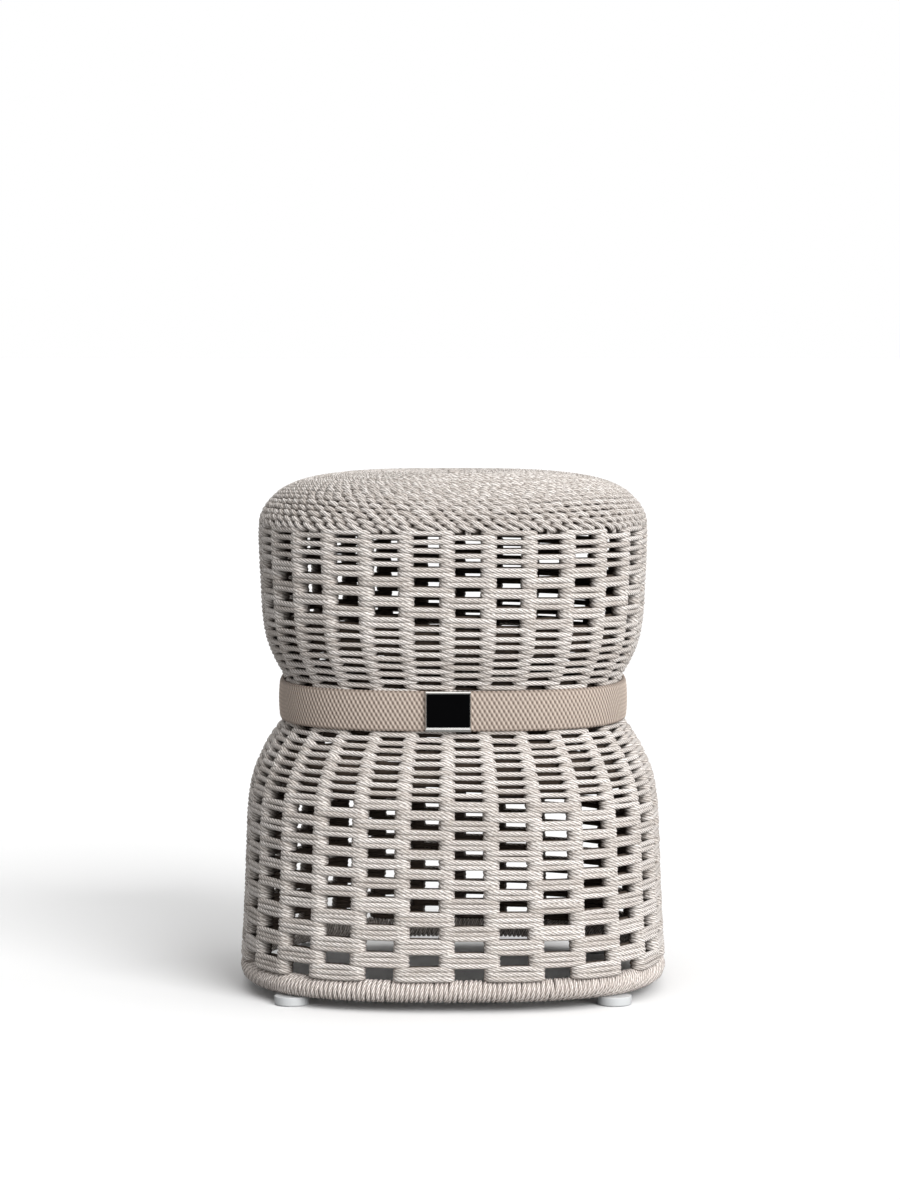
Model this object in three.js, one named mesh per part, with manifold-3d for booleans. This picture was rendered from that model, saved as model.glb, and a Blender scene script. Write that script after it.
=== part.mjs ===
// Woven outdoor footstool: rope woven on a frame of thin bent posts, drawn in at the waist by a strap with a
// metal clasp, standing on a rope-wrapped base ring with four glides.
// Millimetres, +Z up. The origin is on the floor under the middle of the stool, and the clasp faces -Y.
import * as THREE from 'three';
import { mergeVertices } from 'three/addons/utils/BufferGeometryUtils.js';
import Module from 'manifold-3d';

const wasm = await Module();
wasm.setup();

// Overall form
const overallHeight = 447; // floor to the highest ring of the seat
const seatRise = 46; // the seat's own weave, from the wall up to that ring
const baseHalfWidth = 186; // the widest place, at the base ring
const waistHalfWidth = 147.4; // weave under the strap
const seatHalfWidth = 170.8; // weave just under the seat's rim
const waistHeight = 249.5; // middle of the strap
const rimHeight = overallHeight - seatRise; // where the wall's weave ends and the seat's begins
const planExponent = 2.75; // 2 is a circle and larger is squarer
const clearance = 0.3; // between pieces that touch

// Rope and its bands: each band is one, two or three ropes wound round two neighbouring posts
const ropeThickness = 4.6;
const postCount = 32;
const doubleBandPitch = 8.15; // from one band of two ropes to the next, along a post
const tripleBandPitch = 11.2; // the same for bands of three ropes
const lowerTripleBands = 6; // on one post, counted up from the base ring
const lowerOpenBands = 4; // window rows in each column of the lower wall
const upperOpenBands = 3;
const upperBandsDrop = 76.5; // from the rim down to the middle of the upper wall's lowest double band
const upperBandPitch = 8.6;
const windowShare = 0.61; // of the distance between two posts
const firstColumnShare = 0.36; // the first window column right of the front middle, in column pitches

// Frame
const postDiameter = 5;
const hoopDiameter = 5;
const ringTubeDiameter = 10.8;
const crownPlateHalfWidth = 64;
const crownPlateThickness = 4;
const crownPlateDrop = 2; // the plate hangs this far below the posts' ends, so that the weave clears its edge

// Strap and clasp
const strapHeight = 34.4;
const strapThickness = 5;
const strapEdgeThickness = 2.2;
const strapCrownShare = 0.5; // of the strap's height that has the full thickness
const strapEndGap = 3; // between the strap's two ends, behind the clasp
const grooveEase = 0.6; // the weave's groove is this much taller than the strap, above and below
const claspWidth = 38.5;
const claspHeight = 34;
const claspPlateThickness = 2.4;
const claspSideRim = 0.8;
const claspTopRim = 1.8;
const claspBottomRim = 3.5;
const claspPanelThickness = 1.2;
const claspOffset = -4; // from the stool's middle, to the left
const rivetDiameter = 3;
const rivetHeadDiameter = 6;
const rivetHeadThickness = 1;
const rivetSpacing = 20;

// Feet and the seat's knot
const footDiameter = 29;
const footHeight = 7.7;
const footChamfer = 1;
const footRecessDiameter = 10;
const footRecessDepth = 4;
const screwDiameter = 4;
const screwHeadDiameter = 8;
const screwHeadThickness = 2.4;
const screwReach = 3; // how far the screw passes the ring tube's lower face
const knotDiameter = 13;
const knotHeight = 2.6;

// Facets
const postSides = 5;
const hoopSides = 4;
const ringSides = 6;
const wrapSides = 8;
const roundSides = 12;
const screwSides = 8;
const ringFacets = 48;
const perimeterSamples = 4096;
const mergeTolerance = 1e-4;

// Finishes
const rope = new THREE.MeshStandardMaterial({ color: 0xc5bbb0, roughness: 0.9, metalness: 0 });
const wrapRope = new THREE.MeshStandardMaterial({ color: 0xc0b3a5, roughness: 0.9, metalness: 0 });
const webbing = new THREE.MeshStandardMaterial({ color: 0xbfae9e, roughness: 0.85, metalness: 0 });
const framePaint = new THREE.MeshStandardMaterial({ color: 0x8f857c, roughness: 0.5, metalness: 0.2 });
const brightMetal = new THREE.MeshStandardMaterial({ color: 0xc9c8c5, roughness: 0.25, metalness: 1 });
const blackEnamel = new THREE.MeshStandardMaterial({ color: 0x0c0c0e, roughness: 0.15, metalness: 0 });
const glidePlastic = new THREE.MeshStandardMaterial({ color: 0xe6e9ea, roughness: 0.4, metalness: 0 });
const screwSteel = new THREE.MeshStandardMaterial({ color: 0xaaaaaa, roughness: 0.35, metalness: 1 });

// Plan: a rounded square, the same at every height. reachAt is its half-width factor at a polar angle.
const reachAt = (angle) => {
  const [cosine, sine] = [Math.abs(Math.cos(angle)), Math.abs(Math.sin(angle))];
  return (cosine ** planExponent + sine ** planExponent) ** (-1 / planExponent);
};

// Turns a share of the way round, from the front middle and rightwards, into a polar angle
const perimeter = (() => {
  const front = -Math.PI / 2;
  const angles = [];
  const lengths = [0];
  for (let i = 0; i <= perimeterSamples; i++) {
    angles.push(front + (2 * Math.PI * i) / perimeterSamples);
    if (i === 0) continue;
    const [a, b] = [angles[i - 1], angles[i]];
    const [ra, rb] = [reachAt(a), reachAt(b)];
    const step = Math.hypot(rb * Math.cos(b) - ra * Math.cos(a), rb * Math.sin(b) - ra * Math.sin(a));
    lengths.push(lengths[i - 1] + step);
  }
  return { angles, lengths, total: lengths[perimeterSamples] };
})();

function angleAtShare(share) {
  const target = (((share % 1) + 1) % 1) * perimeter.total;
  const i = Math.max(1, perimeter.lengths.findIndex((length) => length >= target));
  const [low, high] = [perimeter.lengths[i - 1], perimeter.lengths[i]];
  const part = (target - low) / (high - low);
  return perimeter.angles[i - 1] + part * (perimeter.angles[i] - perimeter.angles[i - 1]);
}

const columnIndexes = Array.from({ length: postCount }, (_, k) => k);
const columnShare = (k, shift) => (firstColumnShare + k + shift) / postCount;
// Two lines for each column, the left and right edge of its windows
const lines = columnIndexes.flatMap((k) => [
  angleAtShare(columnShare(k, -windowShare / 2)),
  angleAtShare(columnShare(k, windowShare / 2)),
]);
const postAngles = columnIndexes.map((k) => angleAtShare(columnShare(k, 1 / 2)));
const ringAngles = Array.from({ length: ringFacets }, (_, i) => angleAtShare((i + 1 / 2) / ringFacets));

// Places worked out from the sizes above
const wrapRadius = ringTubeDiameter / 2 + ropeThickness;
const ringReach = baseHalfWidth - wrapRadius;
const ringHeight = footHeight + clearance + wrapRadius;
const wallOnWrap = Math.sqrt(wrapRadius ** 2 - (wrapRadius - ropeThickness) ** 2);
const weaveBottom = ringHeight + wallOnWrap + clearance;
const grooveBottom = waistHeight - strapHeight / 2 - grooveEase;
const grooveTop = waistHeight + strapHeight / 2 + grooveEase;

// The weave's outline from the base ring to the middle of the seat. bend marks where the posts are bent too.
const lowerOutlineShares = [
  { inward: 0, up: 0 },
  { inward: 0.135, up: 0.586, bend: true },
  { inward: 0.205, up: 0.718 },
  { inward: 0.363, up: 0.815, bend: true },
  { inward: 0.56, up: 0.892 },
  { inward: 0.86, up: 0.9785 },
  { inward: 1, up: 1, bend: true },
];
const upperOutlineShares = [
  { outward: 0, up: 0, bend: true },
  { outward: 0.376, up: 0.11, bend: true },
  { outward: 0.62, up: 0.2184 },
  { outward: 0.8, up: 0.342, bend: true },
  { outward: 0.92, up: 0.547 },
  { outward: 1, up: 1, bend: true },
];
const seatOutlineShares = [
  { inward: 0.02, up: 0.28 },
  { inward: 0.064, up: 0.51, bend: true },
  { inward: 0.12, up: 0.67 },
  { inward: 0.239, up: 0.848, bend: true },
  { inward: 0.45, up: 0.965, bend: true },
  { inward: 0.65, up: 1 },
  { inward: 0.85, up: 0.965 },
  { inward: 1, up: 0.93 },
];
const outline = [
  ...lowerOutlineShares.map(({ inward, up, bend }) => ({
    reach: baseHalfWidth - inward * (baseHalfWidth - waistHalfWidth),
    height: weaveBottom + up * (grooveBottom - weaveBottom),
    bend,
  })),
  ...upperOutlineShares.map(({ outward, up, bend }) => ({
    reach: waistHalfWidth + outward * (seatHalfWidth - waistHalfWidth),
    height: grooveTop + up * (rimHeight - grooveTop),
    bend,
  })),
  ...seatOutlineShares.map(({ inward, up, bend }) => ({
    reach: seatHalfWidth * (1 - inward),
    height: rimHeight + up * (overallHeight - rimHeight),
    bend,
  })),
];
const rimStation = lowerOutlineShares.length + upperOutlineShares.length - 1;

// The same outline moved inwards by a depth, with mitred corners
function outlineAtDepth(depth) {
  const normals = outline.slice(1).map((next, i) => {
    const [dr, dz] = [next.reach - outline[i].reach, next.height - outline[i].height];
    const length = Math.hypot(dr, dz);
    return [dz / length, -dr / length];
  });
  return outline.map(({ reach, height }, i) => {
    const before = normals[Math.max(0, i - 1)];
    const after = normals[Math.min(normals.length - 1, i)];
    const mitre = 1 + before[0] * after[0] + before[1] * after[1];
    const inner = {
      reach: reach - (depth * (before[0] + after[0])) / mitre,
      height: height - (depth * (before[1] + after[1])) / mitre,
    };
    if (i === outline.length - 1) inner.reach = 0;
    if (i === 0) inner.height = height;
    return inner;
  });
}
const outer = outlineAtDepth(0);
const inner = outlineAtDepth(ropeThickness);

function stationAt(stations, place) {
  const i = Math.min(Math.floor(place), stations.length - 2);
  const part = place - i;
  const [a, b] = [stations[i], stations[i + 1]];
  return { reach: a.reach + part * (b.reach - a.reach), height: a.height + part * (b.height - a.height) };
}

// A height on the walls as a place between two stations of the outline
function placeAtHeight(height) {
  const i = outline.findIndex((station, k) => k < rimStation + 1 && outline[k + 1].height >= height);
  return i + (height - outline[i].height) / (outline[i + 1].height - outline[i].height);
}

const pointAt = ({ reach, height }, angle) =>
  new THREE.Vector3(
    reach * reachAt(angle) * Math.cos(angle),
    reach * reachAt(angle) * Math.sin(angle),
    height,
  );

// Mesh helpers
function signedVolume(geometry) {
  const position = geometry.getAttribute('position');
  const [a, b, c] = [new THREE.Vector3(), new THREE.Vector3(), new THREE.Vector3()];
  let volume = 0;
  for (let i = 0; i < geometry.index.count; i += 3) {
    a.fromBufferAttribute(position, geometry.index.getX(i));
    b.fromBufferAttribute(position, geometry.index.getX(i + 1));
    c.fromBufferAttribute(position, geometry.index.getX(i + 2));
    volume += a.dot(b.cross(c));
  }
  return volume;
}

// Merges shared vertices, drops faces that have no area and turns the faces outwards
function closed(geometry) {
  geometry.deleteAttribute('normal');
  geometry.deleteAttribute('uv');
  const merged = mergeVertices(geometry, mergeTolerance);
  const kept = [];
  for (let i = 0; i < merged.index.count; i += 3) {
    const face = [merged.index.getX(i), merged.index.getX(i + 1), merged.index.getX(i + 2)];
    if (new Set(face).size === 3) kept.push(...face);
  }
  merged.setIndex(kept);
  if (signedVolume(merged) < 0) merged.setIndex(kept.reverse());
  return merged;
}

function toManifold(geometry) {
  const position = geometry.getAttribute('position');
  return new wasm.Manifold(
    new wasm.Mesh({
      numProp: 3,
      vertProperties: new Float32Array(position.array),
      triVerts: new Uint32Array(geometry.index.array),
    }),
  );
}

function fromManifold(solid) {
  const mesh = solid.getMesh();
  const geometry = new THREE.BufferGeometry();
  geometry.setAttribute('position', new THREE.BufferAttribute(new Float32Array(mesh.vertProperties), 3));
  geometry.setIndex(Array.from(mesh.triVerts));
  return geometry;
}

function cut(geometry, tools) {
  return fromManifold(tools.reduce((solid, tool) => solid.subtract(toManifold(tool)), toManifold(geometry)));
}

// A closed profile carried round the plan: a lathe whose columns are moved to the given angles. The profile
// is a list of reach and height pairs that closes on itself, or starts and ends on the axis.
function carriedRound(profile, angles) {
  const corners = profile.map(([reach, height]) => new THREE.Vector2(reach, height));
  const lathe = new THREE.LatheGeometry(corners, angles.length);
  const position = lathe.getAttribute('position');
  for (let column = 0; column <= angles.length; column++) {
    const angle = angles[column % angles.length];
    profile.forEach(([reach, height], row) => {
      const point = pointAt({ reach, height }, angle);
      position.setXYZ(column * profile.length + row, point.x, point.y, point.z);
    });
  }
  return closed(lathe);
}

// A turned solid round its own Z axis
function turned(profile, sides) {
  const corners = profile.map(([radius, height]) => new THREE.Vector2(radius, height));
  return closed(new THREE.LatheGeometry(corners, sides).rotateX(Math.PI / 2));
}

function polygon(radius, sides, turn) {
  return Array.from({ length: sides }, (_, i) => {
    const angle = turn + (2 * Math.PI * i) / sides;
    return new THREE.Vector2(radius * Math.cos(angle), radius * Math.sin(angle));
  });
}

// A path whose steps fall on the given points, for a rod that is bent where its points are
class BentPath extends THREE.Curve {
  constructor(points) {
    super();
    this.points = points;
  }
  getPoint(t, target = new THREE.Vector3()) {
    const place = t * (this.points.length - 1);
    const i = Math.min(Math.floor(place), this.points.length - 2);
    return target.lerpVectors(this.points[i], this.points[i + 1], place - i);
  }
  getPointAt(u, target) {
    return this.getPoint(u, target);
  }
  getTangentAt(u) {
    const last = this.points.length - 1;
    const i = Math.round(u * last);
    const [from, to] = [Math.max(i, 1) - 1, Math.min(i, last - 1) + 1];
    const before = new THREE.Vector3().subVectors(this.points[from + 1], this.points[from]);
    const after = new THREE.Vector3().subVectors(this.points[to], this.points[to - 1]);
    return before.normalize().add(after.normalize()).normalize();
  }
}

function bentRod(points, radius, sides) {
  const section = new THREE.Shape(polygon(radius, sides, 0));
  const extrudePath = new BentPath(points);
  const options = { steps: points.length - 1, extrudePath, bevelEnabled: false };
  return closed(new THREE.ExtrudeGeometry(section, options));
}

// A wall of weave between two heights, with windows. bandsOf gives the windows of a column as height pairs.
// Only rows of windows that lie clear of the strap's groove are open, so a lower wall has fewer of them.
function wovenWall(bottom, top, bandsOf) {
  const ends = [placeAtHeight(bottom), placeAtHeight(top)];
  const triangles = [];
  const add = (...points) => triangles.push(...points.flatMap((point) => point.toArray()));
  const quad = (a, b, c, d) => {
    add(a, b, c);
    add(a, c, d);
  };
  const stations = outline.map((_, i) => i).filter((i) => i > ends[0] && i < ends[1]);
  const isClear = ([low, high]) => low >= bottom && high < top && (high < grooveBottom || low > grooveTop);
  const windowsOf = (k) => bandsOf(k).filter(isClear).map((band) => band.map(placeAtHeight));
  const rowsOf = (k) => [...new Set([...ends, ...stations, ...windowsOf(k).flat()])].sort((a, b) => a - b);
  const sideOf = (angle, place) => ({
    out: pointAt(stationAt(outer, place), angle),
    in: pointAt(stationAt(inner, place), angle),
  });

  columnIndexes.forEach((k) => {
    const rows = rowsOf(k);
    const edgeAt = (angle) => rows.map((row) => sideOf(angle, row));
    const [left, right] = [edgeAt(lines[2 * k]), edgeAt(lines[2 * k + 1])];
    const isOpen = (i) => {
      if (i < 0 || i > rows.length - 2) return true;
      const middle = (rows[i] + rows[i + 1]) / 2;
      return windowsOf(k).some(([low, high]) => middle > low && middle < high);
    };
    for (let i = 0; i < rows.length; i++) {
      const [a, b] = [left[i], right[i]];
      if (isOpen(i) && !isOpen(i - 1)) quad(a.out, b.out, b.in, a.in);
      if (!isOpen(i) && isOpen(i - 1)) quad(a.out, a.in, b.in, b.out);
      if (i === rows.length - 1) continue;
      const [c, d] = [left[i + 1], right[i + 1]];
      if (isOpen(i)) {
        quad(a.in, c.in, c.out, a.out);
        quad(b.in, b.out, d.out, d.in);
      } else {
        quad(a.out, b.out, d.out, c.out);
        quad(a.in, c.in, d.in, b.in);
      }
    }
    // The solid strip over the post, between this column and the next, whose rows are at other heights
    const nextRows = rowsOf((k + 1) % postCount);
    const far = nextRows.map((row) => sideOf(lines[(2 * k + 2) % lines.length], row));
    for (let i = 0, j = 0; i < rows.length - 1 || j < nextRows.length - 1; ) {
      const climbsNear = j === nextRows.length - 1 || (i < rows.length - 1 && rows[i + 1] <= nextRows[j + 1]);
      const third = climbsNear ? right[++i] : far[++j];
      const [near, other] = climbsNear ? [right[i - 1], far[j]] : [right[i], far[j - 1]];
      add(near.out, other.out, third.out);
      add(near.in, third.in, other.in);
    }
    quad(right[0].out, right[0].in, far[0].in, far[0].out);
    const [nearTop, farTop] = [right[rows.length - 1], far[nextRows.length - 1]];
    quad(nearTop.out, farTop.out, farTop.in, nearTop.in);
  });
  const geometry = new THREE.BufferGeometry();
  geometry.setAttribute('position', new THREE.Float32BufferAttribute(triangles, 3));
  return closed(geometry);
}

// Middles of the bands up one post in the lower wall, with how many ropes each has
const lowerBands = (() => {
  const bands = [];
  let top = weaveBottom;
  const needed = 2 * lowerOpenBands + 2;
  for (let i = 0; i < needed; i++) {
    const ropes = i < lowerTripleBands ? 3 : 2;
    const pitch = ropes === 3 ? tripleBandPitch : doubleBandPitch;
    bands.push({ middle: top + pitch / 2, ropes });
    top += pitch;
  }
  return bands;
})();
const upperBands = Array.from({ length: 2 * upperOpenBands + 2 }, (_, i) => ({
  middle: rimHeight - upperBandsDrop + (i - 1) * upperBandPitch,
  ropes: 2,
}));

// A window lies between two bands of its own column, where the neighbour columns have theirs
function windowBetween(bands, i) {
  const spread = (band) => (band.ropes * ropeThickness) / 2;
  const low = i === 0 ? weaveBottom : bands[i - 1].middle + spread(bands[i - 1]);
  return [low, bands[i + 1].middle - spread(bands[i + 1])];
}

const lowerWindows = (k) =>
  Array.from({ length: lowerOpenBands }, (_, row) => windowBetween(lowerBands, 2 * row + (k % 2)));
const upperWindows = (k) =>
  Array.from({ length: upperOpenBands }, (_, row) => windowBetween(upperBands, 2 * row + 1 + ((k + 1) % 2)));

// The weave
const seam = clearance / 2;
const lowerWall = wovenWall(weaveBottom, waistHeight - seam, lowerWindows);
const upperWall = wovenWall(waistHeight + seam, rimHeight - seam, upperWindows);

function seatCover() {
  const rim = placeAtHeight(rimHeight + seam);
  const last = outline.length - 1;
  const overIndexes = outline.map((_, i) => i).filter((i) => i > rimStation);
  const underIndexes = overIndexes.filter((i) => outline[i].bend || i === last).reverse();
  const pair = ({ reach, height }) => [reach, height];
  const profile = [
    pair(stationAt(outer, rim)),
    ...overIndexes.map((i) => pair(outer[i])),
    ...underIndexes.map((i) => pair(inner[i])),
    pair(stationAt(inner, rim)),
  ];
  return carriedRound([...profile, profile[0]], lines);
}

// The frame: posts from the base ring to the crown plate, two hoops inside them, the plate and the ring
const postRadius = postDiameter / 2;
const postDepth = ropeThickness + clearance + postRadius;
const postStations = outlineAtDepth(postDepth).filter((_, i) => outline[i].bend);
const plateMiddle = postStations[postStations.length - 1].height - crownPlateDrop;
// The faceted tube has a flat top, which the posts stand on
const ringFlat = (ringTubeDiameter / 2) * Math.cos(Math.PI / ringSides);
const postFoot = { reach: ringReach, height: ringHeight + ringFlat + clearance };
const postEnd = { reach: crownPlateHalfWidth + clearance, height: plateMiddle };

function post(k) {
  const edges = [lines[2 * k + 1], lines[(2 * k + 2) % lines.length]];
  const points = [postFoot, ...postStations, postEnd].map((station) => {
    const [a, b] = edges.map((angle) => pointAt(station, angle));
    return a.lerp(b, 1 / 2);
  });
  return bentRod(points, postRadius, postSides);
}

// A hoop against the inner side of the posts, at a place on the outline
function hoop(place) {
  const hoopRadius = hoopDiameter / 2;
  const middle = stationAt(outlineAtDepth(postDepth + postRadius + clearance + hoopRadius), place);
  const section = polygon(hoopRadius, hoopSides, 0).map(({ x, y }) => [middle.reach + x, middle.height + y]);
  return carriedRound([...section, section[0]], postAngles);
}
const waistHoop = hoop(placeAtHeight(waistHeight));
const rimHoop = hoop(placeAtHeight(rimHeight));

function crownPlate() {
  const [low, high] = [plateMiddle - crownPlateThickness / 2, plateMiddle + crownPlateThickness / 2];
  const edge = crownPlateHalfWidth;
  return carriedRound([[0, high], [edge, high], [edge, low], [0, low]], postAngles);
}

function baseRing() {
  const corners = polygon(ringTubeDiameter / 2, ringSides, 0);
  const section = corners.map(({ x, y }) => [ringReach + x, ringHeight + y]);
  return carriedRound([...section, section[0]], ringAngles);
}

// The base ring's wrapping is a sleeve with a slot along its top, where the posts come down to the ring
function baseWrap() {
  const slotHalf = postRadius + 2 * clearance;
  const boreRadius = (ringTubeDiameter / 2 + clearance) / Math.cos(Math.PI / ringSides);
  const outside = polygon(wrapRadius, wrapSides, 0).filter(({ x, y }) => Math.abs(x) > slotHalf || y < 0);
  const inside = polygon(boreRadius, ringSides, 0).filter(({ y }) => y <= mergeTolerance);
  const wrapTop = Math.sqrt(wrapRadius ** 2 - slotHalf ** 2);
  const boreTop = boreRadius * Math.sin((2 * Math.PI) / ringSides);
  const turnFromTop = ({ x, y }) => (Math.atan2(-x, y) + 2 * Math.PI) % (2 * Math.PI);
  const byAngle = (a, b) => turnFromTop(a) - turnFromTop(b);
  const section = [
    new THREE.Vector2(-slotHalf, wrapTop),
    ...outside.sort(byAngle),
    new THREE.Vector2(slotHalf, wrapTop),
    new THREE.Vector2(slotHalf, boreTop),
    ...inside.sort(byAngle).reverse(),
    new THREE.Vector2(-slotHalf, boreTop),
  ].map(({ x, y }) => [ringReach + x, ringHeight + y]);
  return carriedRound([...section, section[0]], ringAngles);
}

// Strap and clasp
const strapInner = waistHalfWidth + clearance;
const strapOuter = strapInner + strapThickness;
const strapEdge = strapInner + strapEdgeThickness;
const strapShoulder = (strapHeight * strapCrownShare) / 2;

// A rivet lies along Y: its head is sunk in the strap's inner face and its end meets the clasp's back
function rivetShape(ease) {
  const [headRadius, shankRadius] = [rivetHeadDiameter / 2 + ease, rivetDiameter / 2 + ease];
  const tip = strapThickness + ease;
  const profile = [[0, -ease], [headRadius, -ease], [headRadius, rivetHeadThickness + ease],
    [shankRadius, rivetHeadThickness + ease], [shankRadius, tip], [0, tip]];
  return turned(profile, roundSides).rotateX(Math.PI / 2);
}
const rivetPlaces = [-1, 1].map((side) => claspOffset + (side * rivetSpacing) / 2);
const rivetAt = (x, ease) => rivetShape(ease).translate(x, -strapInner, waistHeight);

function strap() {
  const half = strapHeight / 2;
  const section = [[strapInner, -half], [strapEdge, -half], [strapOuter, -strapShoulder],
    [strapOuter, strapShoulder], [strapEdge, half], [strapInner, half]];
  const band = carriedRound([...section, section[0]].map(([r, z]) => [r, waistHeight + z]), lines);
  const gap = new THREE.BoxGeometry(strapEndGap, 2 * (strapOuter - waistHalfWidth), 2 * strapHeight);
  gap.translate(claspOffset, -(strapInner + strapOuter) / 2, waistHeight);
  return cut(band, [closed(gap), ...rivetPlaces.map((x) => rivetAt(x, clearance))]);
}

const claspBack = strapOuter + clearance;
const claspFront = claspBack + claspPlateThickness;
function claspFrame() {
  const half = claspHeight / 2;
  const lip = strapEdge + 2 * clearance;
  const corners = [[claspFront, -half], [claspFront, half], [lip, half], [claspBack, strapShoulder],
    [claspBack, -strapShoulder], [lip, -half]];
  const side = new THREE.Shape(corners.map(([y, z]) => new THREE.Vector2(y, z)));
  const body = new THREE.ExtrudeGeometry(side, { depth: claspWidth, bevelEnabled: false });
  // The section's axes become -Y and Z, and its depth runs along X
  const basis = new THREE.Matrix4().makeBasis(
    new THREE.Vector3(0, -1, 0), new THREE.Vector3(0, 0, 1), new THREE.Vector3(-1, 0, 0));
  body.applyMatrix4(basis).translate(claspOffset + claspWidth / 2, 0, waistHeight);
  return cut(closed(body), [claspRecess(0)]);
}

// The recess in the clasp's front, or with an ease the panel that lies in it
function claspRecess(ease) {
  const width = claspWidth - 2 * claspSideRim - 2 * ease;
  const height = claspHeight - claspTopRim - claspBottomRim - 2 * ease;
  const depth = ease > 0 ? claspPanelThickness : claspPanelThickness + clearance + claspPlateThickness;
  const front = ease > 0 ? claspFront : claspFront + claspPlateThickness;
  const panel = new THREE.BoxGeometry(width, depth, height);
  panel.translate(claspOffset, -(front - depth / 2), waistHeight + (claspBottomRim - claspTopRim) / 2);
  return closed(panel);
}

// Feet: four glides at the corners, each held by a screw from below into the ring's tube
const cornerAngles = [1, 3, 5, 7].map((eighth) => (eighth * Math.PI) / 4);
const footPlaces = cornerAngles.map((angle) => pointAt({ reach: ringReach, height: 0 }, angle));
function foot() {
  const [radius, bore, recess] = [footDiameter / 2, screwDiameter / 2 + clearance, footRecessDiameter / 2];
  const profile = [[recess, 0], [radius - footChamfer, 0], [radius, footChamfer], [radius, footHeight],
    [bore, footHeight], [bore, footRecessDepth], [recess, footRecessDepth]];
  return turned([...profile, profile[0]], roundSides);
}
const screwTip = ringHeight - ringTubeDiameter / 2 + screwReach;
function screw(ease) {
  const [head, shank] = [screwHeadDiameter / 2, screwDiameter / 2 + ease];
  const seat = footRecessDepth - clearance;
  const profile = [[0, seat - screwHeadThickness], [head, seat - screwHeadThickness], [head, seat],
    [shank, seat], [shank, screwTip + ease], [0, screwTip + ease]];
  return turned(profile, screwSides);
}
const screwHoles = footPlaces.map(({ x, y }) => screw(clearance).translate(x, y, 0));

// The knot in the middle of the seat, as shares of its half diameter and its height
const knotOutlineShares = [[0, 0], [0.8, 0], [1, 0.33], [0.75, 0.8], [0, 1]];
function seatKnot() {
  const seat = outline[outline.length - 1].height + 2 * clearance;
  const profile = knotOutlineShares.map(([out, up]) => [(out * knotDiameter) / 2, seat + up * knotHeight]);
  return turned(profile, roundSides);
}

// The assembly
const group = new THREE.Group();
function place(name, geometry, material) {
  const mesh = new THREE.Mesh(geometry, material);
  mesh.name = name;
  group.add(mesh);
  return mesh;
}
place('base_ring', cut(baseRing(), screwHoles), framePaint);
place('base_rope_wrap', cut(baseWrap(), screwHoles), wrapRope);
columnIndexes.forEach((k) => place(`post_${String(k + 1).padStart(2, '0')}`, post(k), framePaint));
place('waist_hoop', waistHoop, framePaint);
place('rim_hoop', rimHoop, framePaint);
place('crown_plate', crownPlate(), framePaint);
place('lower_woven_wall', lowerWall, rope);
place('upper_woven_wall', upperWall, rope);
place('seat_woven_cover', seatCover(), rope);
place('seat_knot', seatKnot(), rope);
place('waist_strap', strap(), webbing);
place('clasp_frame', claspFrame(), brightMetal);
place('clasp_panel', claspRecess(clearance), blackEnamel);
rivetPlaces.forEach((x, i) => place(`clasp_rivet_${i + 1}`, rivetAt(x, 0), brightMetal));
footPlaces.forEach(({ x, y }, i) => {
  place(`foot_${i + 1}`, foot(), glidePlastic).position.set(x, y, 0);
  place(`foot_screw_${i + 1}`, screw(0), screwSteel).position.set(x, y, 0);
});

export default group;
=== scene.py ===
# %% [markdown]
# # A woven rope footstool
# This script dresses the bare model of a woven outdoor footstool with its rope, strap and finishes. Its
# solids give every place and size that follows, so the box round them is kept before anything is added.

import math

import bpy
import numpy as np
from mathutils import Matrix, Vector


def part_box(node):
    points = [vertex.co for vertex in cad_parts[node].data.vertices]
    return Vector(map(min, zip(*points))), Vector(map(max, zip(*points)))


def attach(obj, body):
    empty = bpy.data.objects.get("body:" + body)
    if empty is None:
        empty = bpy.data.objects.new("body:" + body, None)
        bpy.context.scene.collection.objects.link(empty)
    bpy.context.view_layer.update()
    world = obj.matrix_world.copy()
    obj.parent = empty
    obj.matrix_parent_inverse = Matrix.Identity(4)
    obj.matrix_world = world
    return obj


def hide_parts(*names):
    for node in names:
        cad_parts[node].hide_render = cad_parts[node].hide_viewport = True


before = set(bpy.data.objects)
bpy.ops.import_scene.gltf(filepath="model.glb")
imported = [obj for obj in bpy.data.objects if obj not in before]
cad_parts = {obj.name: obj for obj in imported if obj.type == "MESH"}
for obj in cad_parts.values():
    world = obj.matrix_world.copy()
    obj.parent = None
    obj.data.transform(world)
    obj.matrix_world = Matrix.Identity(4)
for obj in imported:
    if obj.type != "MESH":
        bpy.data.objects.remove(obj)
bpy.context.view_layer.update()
mm = 0.001

# %% [markdown]
# ## Camera
# The photograph looks straight ahead from a little above the seat. Level vertical edges mean that the
# camera isn't tilted, so the stool is brought into the frame by moving the lens (shift), as on a view
# camera.

# %% Camera
# In metres
camera_distance, camera_height = 3.42, 0.576
# In pixels of the photograph
image_width, image_height = 900, 1200
focal_pixels = 3875
horizon_row, middle_column = 324.4, 453

camera_data = bpy.data.cameras.new("camera")
camera_data.lens = camera_data.sensor_width * focal_pixels / image_height
camera_data.shift_x = (image_width / 2 - middle_column) / image_height
camera_data.shift_y = (horizon_row - image_height / 2) / image_height
camera = bpy.data.objects.new("camera", camera_data)
camera.location = (0, -camera_distance, camera_height)
camera.rotation_euler = (math.pi / 2, 0, 0)
bpy.context.scene.collection.objects.link(camera)
bpy.context.scene.camera = camera
print("lens in mm:", round(camera_data.lens, 1))

# %% [markdown]
# ## Small helpers
# Colours are written as sRGB hex values, as a paint program shows them. Blender wants linear light, so one
# function converts them. Another adds a node to any tree, sets it up and links what feeds it. Every finish
# ends in the same three nodes, so one more function adds those, and the last puts an object in the scene.

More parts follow.
